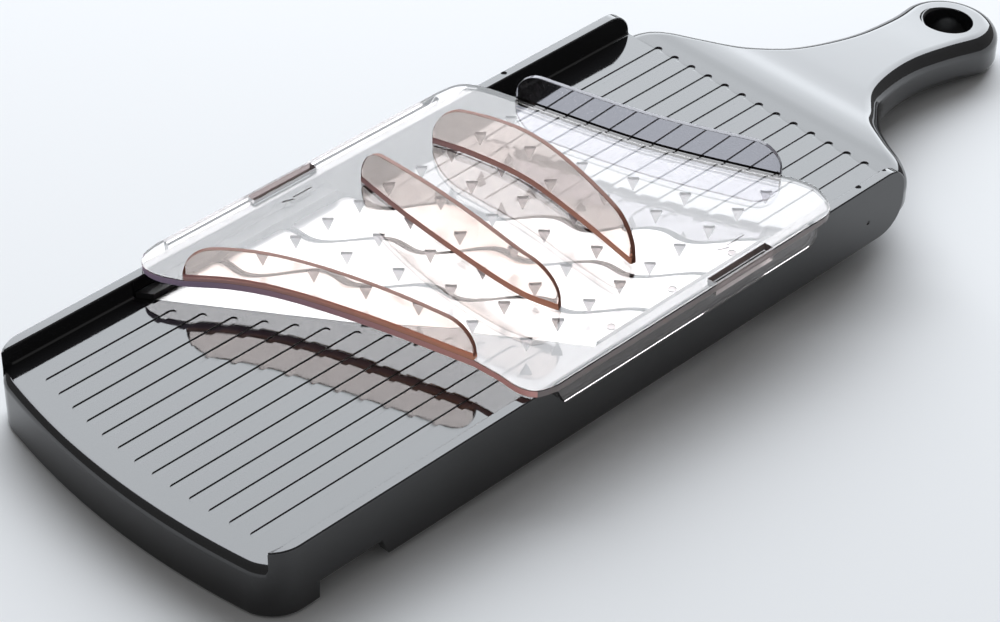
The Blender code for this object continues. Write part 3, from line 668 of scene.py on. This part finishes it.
def make_blade(name, zone, straight_back):
    """A steel strip whose far edge is ground to a wavy cutting edge, with a tab at each end."""
    start, end, top = zone
    tab = (start + TAB_INSET, end - TAB_INSET)

    def on_edge(x, y):
        return abs(x) <= BLADE_HALF_LENGTH and y - SLOPE * x > end - SLOT_HALF - WAVE_HEIGHT - 0.1

    def outline(edge):
        if straight_back:
            near = [slanted(-BLADE_HALF_LENGTH, start + GAP), slanted(BLADE_HALF_LENGTH, start + GAP)]
        else:
            near = wavy_line(start + SLOT_HALF, BLADE_HALF_LENGTH, WAVE_STEPS)
        far = list(reversed(wavy_line(end - SLOT_HALF - edge, BLADE_HALF_LENGTH, WAVE_STEPS)))
        right = [slanted(BLADE_HALF_LENGTH, tab[0]), slanted(TAB_END, tab[0]),
                 slanted(TAB_END, tab[1]), slanted(BLADE_HALF_LENGTH, tab[1])]
        left = [slanted(-BLADE_HALF_LENGTH, tab[1]), slanted(-TAB_END, tab[1]),
                slanted(-TAB_END, tab[0]), slanted(-BLADE_HALF_LENGTH, tab[0])]
        return near + right + far + left

    bm = bmesh.new()
    low = [(x, y, top - BLADE_THICKNESS) for x, y in outline(0.0)]
    edge = [(x, y, top - (BLADE_BEVEL_DROP if on_edge(x, y) else BLADE_BACK_DROP))
            for x, y in outline(0.0)]
    high = [(x, y, top) for x, y in outline(BLADE_BEVEL)]
    add_loft(bm, [low, edge, high])
    return new_object(name, bm)


# Holder.

def add_fin(bm, line, height, drop, end_radius):
    """An upright fin beside a curved line: thinner at its top, lower and round at its ends."""
    path = smooth(line, 12)
    lengths = [0.0]
    for a, b in zip(path, path[1:]):
        lengths.append(lengths[-1] + math.dist(a, b))
    total = lengths[-1]
    ends = [end_radius * (1 - math.cos(math.radians(angle))) for angle in range(0, 91, 5)]
    middle = [s for s in lengths if end_radius * 1.05 < s < total - end_radius * 1.05]
    rings = []
    for s in ends + middle + [total - s for s in reversed(ends)]:
        index = max(0, min(len(path) - 2, sum(1 for length in lengths[1:] if length < s)))
        share = (s - lengths[index]) / (lengths[index + 1] - lengths[index])
        here = Vector(path[index]).lerp(Vector(path[index + 1]), share)
        along = (Vector(path[index + 1]) - Vector(path[index])).normalized()
        across = Vector((-along.y, along.x))
        inner = min(s, total - s, end_radius)
        shoulder = end_radius * (1 - math.sqrt(max(0.0, 1 - (1 - inner / end_radius) ** 2)))
        top = PLATE_TOP + height - drop * (2 * s / total - 1) ** 2 - shoulder
        narrow = math.sqrt(1 - (1 - min(1.0, FIN_END_SHARE + inner / FIN_END_LENGTH)) ** 2)
        section = [(0.0, PLATE_TOP + FIN_FOOT), (0.0, PLATE_TOP - FIN_ROOT),
                   (FIN_THICKNESS, PLATE_TOP - FIN_ROOT), (FIN_THICKNESS, PLATE_TOP + FIN_FOOT)]
        section += arc((FIN_THICKNESS - FIN_DRAFT - FIN_EDGE, top - FIN_EDGE), FIN_EDGE, 0.0, 90.0, 4)
        section += arc((FIN_DRAFT + FIN_EDGE, top - FIN_EDGE), FIN_EDGE, 90.0, 180.0, 4)
        ring = []
        for out, z in section:
            offset = FIN_SETBACK + FIN_THICKNESS / 2 + (out - FIN_THICKNESS / 2) * narrow
            ring.append((*(here + across * offset), z))
        rings.append(ring)
    add_loft(bm, rings)


def spike_spots():
    """A slanted grid that stays inside the plate and between the rails."""
    spots = []
    for column in range(-2, 4):
        x = SPIKE_ORIGIN[0] + column * SPIKE_COLUMN[0]
        near = height_at(FRONT_FACE, x) + SPIKE_MARGIN
        far = height_at(sorted(REAR_FACE), x) - SPIKE_MARGIN
        for row in range(-8, 9):
            y = SPIKE_ORIGIN[1] + column * SPIKE_COLUMN[1] + row * SPIKE_PITCH
            if near < y < far:
                spots.append((x, y))
    return spots


def add_spike(bm, x, y):
    """A flat pointed tooth that stands askew under the plate."""
    rings = []
    for share, z in ((SPIKE_TIP_SHARE, PLATE_BOTTOM - SPIKE_LENGTH), (1.0, PLATE_BOTTOM),
                     (1.0, PLATE_BOTTOM + SPIKE_ROOT)):
        long = SPIKE_HALF * share * math.sqrt(0.5)
        short = SPIKE_DEPTH * share * math.sqrt(0.5)
        corners = ((-long - short, short - long), (short - long, -long - short),
                   (long + short, long - short), (long - short, long + short))
        rings.append([(x + dx, y + dy, z) for dx, dy in corners])
    add_loft(bm, rings)


def arrow(x, y):
    """The outline of a small arrow that points to the front."""
    head = y - ARROW_SHAFT
    return [(x - ARROW_SHAFT_HALF, y), (x + ARROW_SHAFT_HALF, y), (x + ARROW_SHAFT_HALF, head),
            (x + ARROW_HALF, head), (x, y - ARROW_LENGTH), (x - ARROW_HALF, head),
            (x - ARROW_SHAFT_HALF, head)]


def skirt_outline(start, end):
    """A skirt from its side, as (y, z) points: square at its start, round at its end."""
    on = math.copysign(1.0, end - start)
    low = []
    for degrees in range(90, -1, -10):
        angle = math.radians(degrees)
        low.append((end - on * SKIRT_RADIUS * (1 - math.cos(angle)),
                    SKIRT_BOTTOM + SKIRT_RADIUS * (1 - math.sin(angle))))
    top = PLATE_TOP - OVERLAP
    return [(start + SKIRT_RADIUS * on, SKIRT_BOTTOM)] + low + [
        (end, top), (start + 0.5 * on, top), (start + 0.5 * on, PLATE_BOTTOM)]


def plate_outline():
    """The plate from above, anticlockwise from the left end of its front edge."""
    outline = []
    for stretch in (FRONT_FACE, FRONT_RIGHT_CORNER, REAR_RIGHT_CORNER, REAR_FACE, REAR_LEFT_CORNER,
                    FRONT_LEFT_CORNER):
        curve = smooth(stretch, 8)
        outline += curve if not outline or curve[0] != outline[-1] else curve[1:]
    return outline[:-1]


def on_plate_edge(middle, first, second):
    """The sharp edges of the plate and the skirts."""
    return sharp(first, second, 60.0)


def make_holder():
    """The clear moulding: plate, skirts, fins, spikes, pegs and windows."""
    holder = prism("clear_holder", plate_outline(), PLATE_BOTTOM, PLATE_TOP)
    round_edges(holder, on_plate_edge, PLATE_EDGE, 3)
    bm = bmesh.new()
    for side, (start, end) in ((1, RIGHT_SKIRT_Y), (-1, LEFT_SKIRT_Y)):
        x_range = sorted((side * SKIRT_INNER, side * SKIRT_OUTER))
        add_loft(bm, [[(x, y, z) for y, z in skirt_outline(start, end)] for x in x_range])
    skirts = new_object("skirts", bm)
    round_edges(skirts, on_plate_edge, SKIRT_EDGE, 2)
    join(holder, skirts)
    bm = bmesh.new()
    for fin in FINS:
        add_fin(bm, *fin)
    for x, y in spike_spots():
        add_spike(bm, x, y)
    for x, y in PEGS:
        peg = [(PEG_RADIUS, PLATE_BOTTOM - PEG_HALF), (PEG_RADIUS, PLATE_BOTTOM + PEG_HALF)]
        add_turned(bm, (x, y), peg, 24)
    for x, y in ARROWS:
        add_prism(bm, arrow(x, y), PLATE_TOP - ARROW_DEPTH, PLATE_TOP + ARROW_HEIGHT)
    join(holder, new_object("holder_details", bm))
    bm = bmesh.new()
    for window in (RIGHT_WINDOW, LEFT_WINDOW):
        add_prism(bm, box(*window), PLATE_BOTTOM - 2.0, PLATE_TOP + 2.0)
    cut(holder, new_object("slot_windows", bm))
    return holder


def holder_shade_copy(middle, normal):
    """Which lit or shaded copy of the clear plastic a face takes, from its place in millimetres and its
    normal: painted light and shade.
    """
    upright = abs(normal.z) < 0.6
    left_x, left_y = REAR_FACE[-1]
    at_back = middle.y > left_y + BACK_SLOPE * (middle.x - left_x) - BACK_MARGIN
    if middle.z < PLATE_BOTTOM - 0.1:
        return SPIKE if abs(middle.x) < INNER - PEG_RADIUS else CLEAR
    if middle.z < PLATE_TOP - 0.1:
        at_front = middle.y < FRONT_FACE[-1][1] + FRONT_MARGIN and normal.y < -0.3
        return RIM if upright and at_front else SIDE if upright and not at_back else CLEAR
    if middle.z < PLATE_TOP + FIN_FOOT:
        return FOOT if upright and middle.z > PLATE_TOP + FOOT_BOTTOM and not at_back else CLEAR
    if normal.z > 0.3 or abs(normal.x) > 0.75 and abs(middle.x) > FIN_END_X:
        return FAR_TOP if at_back else FIN_TOP
    return FAR_FIN if at_back else FIN


def paint_holder(holder, materials):
    """Gives each face its lit or shaded copy of the clear plastic, while the mesh is still in the
    tray's frame.
    """
    holder.data.materials.clear()
    for material in materials:
        holder.data.materials.append(material)
    for face in holder.data.polygons:
        face.material_index = holder_shade_copy(face.center / MM, face.normal)


# Materials.

class Nodes:
    """A short way to write a material's nodes."""

    def __init__(self, name):
        self.material = bpy.data.materials.new(name)
        self.material.use_nodes = True
        self.tree = self.material.node_tree
        self.shader = self.tree.nodes["Principled BSDF"]
        self.output = self.tree.nodes["Material Output"]
        self.place = self.tree.nodes.new("ShaderNodeTexCoord").outputs["Object"]

    def set(self, **values):
        for name, value in values.items():
            self.shader.inputs[name.replace("_", " ")].default_value = value

    def link(self, source, name):
        self.tree.links.new(source, self.shader.inputs[name])

    def noise(self, scale, detail=3.0, stretch=(1.0, 1.0, 1.0)):
        mapping = self.tree.nodes.new("ShaderNodeMapping")
        mapping.inputs["Scale"].default_value = stretch
        self.tree.links.new(self.place, mapping.inputs["Vector"])
        node = self.tree.nodes.new("ShaderNodeTexNoise")
        node.inputs["Scale"].default_value = scale
        node.inputs["Detail"].default_value = detail
        node.inputs["Roughness"].default_value = 0.5
        self.tree.links.new(mapping.outputs["Vector"], node.inputs["Vector"])
        return node.outputs["Fac"]

    def across(self):
        """The distance across the tray, in metres."""
        node = self.tree.nodes.new("ShaderNodeSeparateXYZ")
        self.tree.links.new(self.place, node.inputs["Vector"])
        return node.outputs["X"]

    def remap(self, source, low, high, to_low, to_high):
        node = self.tree.nodes.new("ShaderNodeMapRange")
        limits = {"From Min": low, "From Max": high, "To Min": to_low, "To Max": to_high}
        for name, value in limits.items():
            node.inputs[name].default_value = value
        self.tree.links.new(source, node.inputs["Value"])
        return node.outputs["Result"]

    def blend(self, factor, first, second):
        node = self.tree.nodes.new("ShaderNodeMix")
        node.data_type = "RGBA"
        node.inputs["A"].default_value = (*first, 1.0)
        node.inputs["B"].default_value = (*second, 1.0)
        self.tree.links.new(factor, node.inputs["Factor"])
        return node.outputs["Result"]

    def bump(self, height, strength, distance):
        node = self.tree.nodes.new("ShaderNodeBump")
        node.inputs["Strength"].default_value = strength
        node.inputs["Distance"].default_value = distance
        self.tree.links.new(height, node.inputs["Height"])
        self.link(node.outputs["Normal"], "Normal")


def gloss_black():
    """Polished black moulding, with faint flow in its colour and a hint of orange peel."""
    nodes = Nodes("gloss_black_plastic")
    colour = nodes.blend(nodes.noise(55.0), (0.008, 0.008, 0.009), (0.014, 0.014, 0.015))
    nodes.link(colour, "Base Color")
    nodes.link(nodes.remap(nodes.noise(130.0, 5.0), 0.3, 0.7, 0.045, 0.085), "Roughness")
    nodes.set(IOR=1.7)
    nodes.bump(nodes.noise(240.0, 2.0), 0.05, 0.0002)
    return nodes.material


def satin_black():
    """Moulded black plastic with a fine spark-eroded grain."""
    nodes = Nodes("satin_black_plastic")
    colour = nodes.blend(nodes.noise(80.0), (0.016, 0.016, 0.017), (0.026, 0.026, 0.027))
    nodes.link(colour, "Base Color")
    nodes.link(nodes.remap(nodes.noise(900.0, 2.0), 0.3, 0.7, 0.34, 0.48), "Roughness")
    nodes.set(IOR=1.5)
    nodes.bump(nodes.noise(2600.0, 2.0), 0.25, 0.0002)
    return nodes.material


def ground_steel():
    """Bright stainless steel with grinding lines that run along the blade."""
    nodes = Nodes("ground_steel")
    lines = nodes.noise(500.0, 4.0, (0.12, 1.0, 1.0))
    nodes.link(nodes.blend(lines, (0.43, 0.425, 0.42), (0.50, 0.495, 0.485)), "Base Color")
    nodes.link(nodes.remap(lines, 0.3, 0.7, 0.34, 0.44), "Roughness")
    nodes.set(Metallic=1.0)
    nodes.bump(lines, 0.06, 0.0001)
    return nodes.material


def screw_steel():
    nodes = Nodes("screw_steel")
    nodes.link(nodes.blend(nodes.noise(900.0), (0.5, 0.5, 0.5), (0.68, 0.68, 0.67)), "Base Color")
    nodes.link(nodes.remap(nodes.noise(2200.0), 0.3, 0.7, 0.22, 0.38), "Roughness")
    nodes.set(Metallic=1.0)
    return nodes.material


def clear_plastic(name, colour, clear=1.0, haze=0.0, glow=None, specular=0.5):
    """Clear styrene. Its narrow edges gather light from inside, so some get a painted glow: an emission
    with a deeper tint that stands in for that light.

    glow gives the painted glow's tint at the holder's left and right ends.
    """
    nodes = Nodes(name)
    nodes.set(Base_Color=(*colour, 1.0), IOR=1.5, Transmission_Weight=clear,
              Specular_IOR_Level=specular)
    nodes.link(nodes.remap(nodes.noise(150.0, 4.0), 0.3, 0.7, haze, haze + 0.03), "Roughness")
    if glow:
        # Painted glow: an emission, blended from the left tint to the right across the tray.
        share = nodes.remap(nodes.across(), GLOW_LEFT, GLOW_RIGHT, 0.0, 1.0)
        nodes.link(nodes.blend(share, *glow), "Emission Color")
        nodes.set(Emission_Strength=1.0)
    nodes.bump(nodes.noise(90.0, 2.0), 0.04, 0.0002)
    absorb = nodes.tree.nodes.new("ShaderNodeVolumeAbsorption")
    absorb.inputs["Color"].default_value = ABSORB_COLOUR
    absorb.inputs["Density"].default_value = ABSORB_DENSITY
    nodes.tree.links.new(absorb.outputs["Volume"], nodes.output.inputs["Volume"])
    return nodes.material


def pale_floor():
    nodes = Nodes("pale_floor")
    nodes.link(nodes.blend(nodes.noise(3.0), (0.86, 0.86, 0.865), (0.88, 0.88, 0.885)), "Base Color")
    nodes.set(Roughness=0.9)
    return nodes.material


# Placing.

def tray_matrix():
    """Where the tray's frame lies in the row frame, from the holder's slide and the CAD body."""
    axis = frame["joints"][0]["axis"]
    turn = Matrix.Rotation(math.atan2(axis[2], axis[1]), 4, "X")
    points = [turn.inverted() @ vert.co for vert in frame["nodes"]["main_body"].data.vertices]
    front = min(point.y for point in points) - FRONT_Y * MM
    top = max(point.z for point in points) - RAIL_TOP * MM
    return turn @ Matrix.Translation((0.0, front, top))


def paint(item, material):
    """Gives all of a piece one material."""
    item.data.materials.clear()
    item.data.materials.append(material)
    for face in item.data.polygons:
        face.material_index = 0


def round_off(item):
    """Smooth shading that leaves flat faces flat."""
    item.data.shade_smooth()
    item.data.set_sharp_from_angle(angle=math.radians(SMOOTH_ANGLE))
    modifier = item.modifiers.new("Even normals", "WEIGHTED_NORMAL")
    modifier.keep_sharp = True


def soften(item):
    """A narrow round on the sharp edges of a piece that keeps its CAD mesh."""
    modifier = item.modifiers.new("Soft edges", "BEVEL")
    modifier.width = SOFT_EDGE * MM
    modifier.segments = 2
    modifier.limit_method = "ANGLE"
    modifier.angle_limit = math.radians(SOFT_EDGE_ANGLE)


def put(item, tray, body, slot, *nodes):
    """Places a finished piece in the row frame as the stand-in for CAD nodes."""
    item.data.transform(tray)
    round_off(item)
    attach(item, body)
    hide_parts(*nodes)


# Studio.

def add_softbox():
    """One large light behind the slicer, on its left."""
    light = bpy.data.lights.new("softbox", "AREA")
    light.shape = "RECTANGLE"
    light.size, light.size_y = SOFTBOX_SIZE
    light.energy = SOFTBOX_POWER
    light.color = SOFTBOX_COLOUR
    item = bpy.data.objects.new("softbox", light)
    bpy.context.scene.collection.objects.link(item)
    item.location = SOFTBOX_AT
    way = Vector(SOFTBOX_AIM) - Vector(SOFTBOX_AT)
    item.rotation_euler = way.to_track_quat("-Z", "Y").to_euler()


def make_studio():
    """A pale floor, the softbox and an even white surround."""
    bm = bmesh.new()
    bmesh.ops.create_grid(bm, x_segments=2, y_segments=2, size=FLOOR_HALF)
    mesh = bpy.data.meshes.new("floor")
    bm.to_mesh(mesh)
    bm.free()
    floor = bpy.data.objects.new("floor", mesh)
    bpy.context.scene.collection.objects.link(floor)
    floor.location.z = CAD_BOX[0].z - FLOOR_DROP
    mesh.materials.append(pale_floor())
    add_softbox()
    world = bpy.data.worlds.new("studio")
    bpy.context.scene.world = world
    world.use_nodes = True
    background = world.node_tree.nodes["Background"]
    background.inputs["Color"].default_value = (1.0, 1.0, 1.0, 1.0)
    background.inputs["Strength"].default_value = SKY_STRENGTH


def make_camera(tray):
    """The photo's camera."""
    azimuth, elevation = math.radians(CAMERA_AZIMUTH), math.radians(CAMERA_ELEVATION)
    roll = math.radians(CAMERA_ROLL)
    back = Vector((math.sin(azimuth) * math.cos(elevation), -math.cos(azimuth) * math.cos(elevation),
                   math.sin(elevation)))
    right = Vector((math.cos(azimuth), math.sin(azimuth), 0.0))
    up = back.cross(right)
    side = right * math.cos(roll) + up * math.sin(roll)
    top = up * math.cos(roll) - right * math.sin(roll)
    turn = Matrix((side, top, back)).transposed().to_4x4()
    data = bpy.data.cameras.new("camera")
    data.lens = CAMERA_LENS
    data.sensor_width = CAMERA_SENSOR
    data.clip_end = CAMERA_CLIP
    camera = bpy.data.objects.new("camera", data)
    bpy.context.scene.collection.objects.link(camera)
    camera.matrix_world = tray @ Matrix.Translation(Vector(CAMERA_AT) * MM) @ turn
    bpy.context.scene.camera = camera


def holder_materials():
    """The holder's nine lit and shaded copies of one clear plastic, in their numbered order."""
    # Painted glow for the rim and the foot: bluish at the left end, warm at the right.
    rim_painted_glow = ((0.05, 0.05, 0.09), (0.21, 0.1, 0.09))
    foot_painted_glow = ((0.09, 0.06, 0.07), (0.20, 0.09, 0.06))
    # Painted light and shade: dark fin tops and far tops, warm near fins and cool far fins, dimmed and
    # tinted spikes and plate sides, tinted rim and foot.
    return (
        clear_plastic("clear_plastic", (1.0, 0.975, 0.965)),
        clear_plastic("clear_plastic_fin_edge_painted_shade", (0.30, 0.13, 0.09), 0.1, 0.3, None, 0.15),
        clear_plastic("clear_plastic_rim_painted_glow", (0.70, 0.42, 0.42), 0.35, 0.05, rim_painted_glow),
        clear_plastic("clear_plastic_foot_painted_glow", (0.72, 0.40, 0.30), 0.35, 0.05, foot_painted_glow),
        clear_plastic("clear_plastic_fin", (0.91, 0.82, 0.775)),
        clear_plastic("clear_plastic_far_fin", (0.88, 0.88, 0.95)),
        clear_plastic("clear_plastic_far_edge_painted_shade", (0.42, 0.40, 0.46), 0.5),
        clear_plastic("clear_plastic_spike", (0.80, 0.75, 0.77), 0.5, 0.15),
        clear_plastic("clear_plastic_side", (0.93, 0.80, 0.78), 0.7),
    )


def main():
    """Builds every piece, and then the studio and the camera."""
    tray = tray_matrix()
    gloss, satin, steel = gloss_black(), satin_black(), ground_steel()
    body = make_main_body()
    paint(body, gloss)
    put(body, tray, "tray", "body_plastic", "main_body")
    zones = zone_tops()
    for name, zone, straight in (("front_blade", zones[0], True), ("middle_blade", zones[1], False),
                                 ("rear_blade", zones[2], False)):
        blade = make_blade(f"steel_{name}", zone, straight)
        paint(blade, steel)
        put(blade, tray, "tray", "blade_steel", name)
    holder = make_holder()
    paint_holder(holder, holder_materials())
    put(holder, tray, "holder", "clear_plastic", "food_holder")
    screws = screw_steel()
    for name, item in frame["nodes"].items():
        if not item.hide_render:
            paint(item, screws if "screw" in name else satin)
            if "screw" not in name:
                soften(item)
            round_off(item)
    make_studio()
    make_camera(tray)
    view = bpy.context.scene.view_settings
    view.view_transform = "Standard"
    view.look = "None"


main()
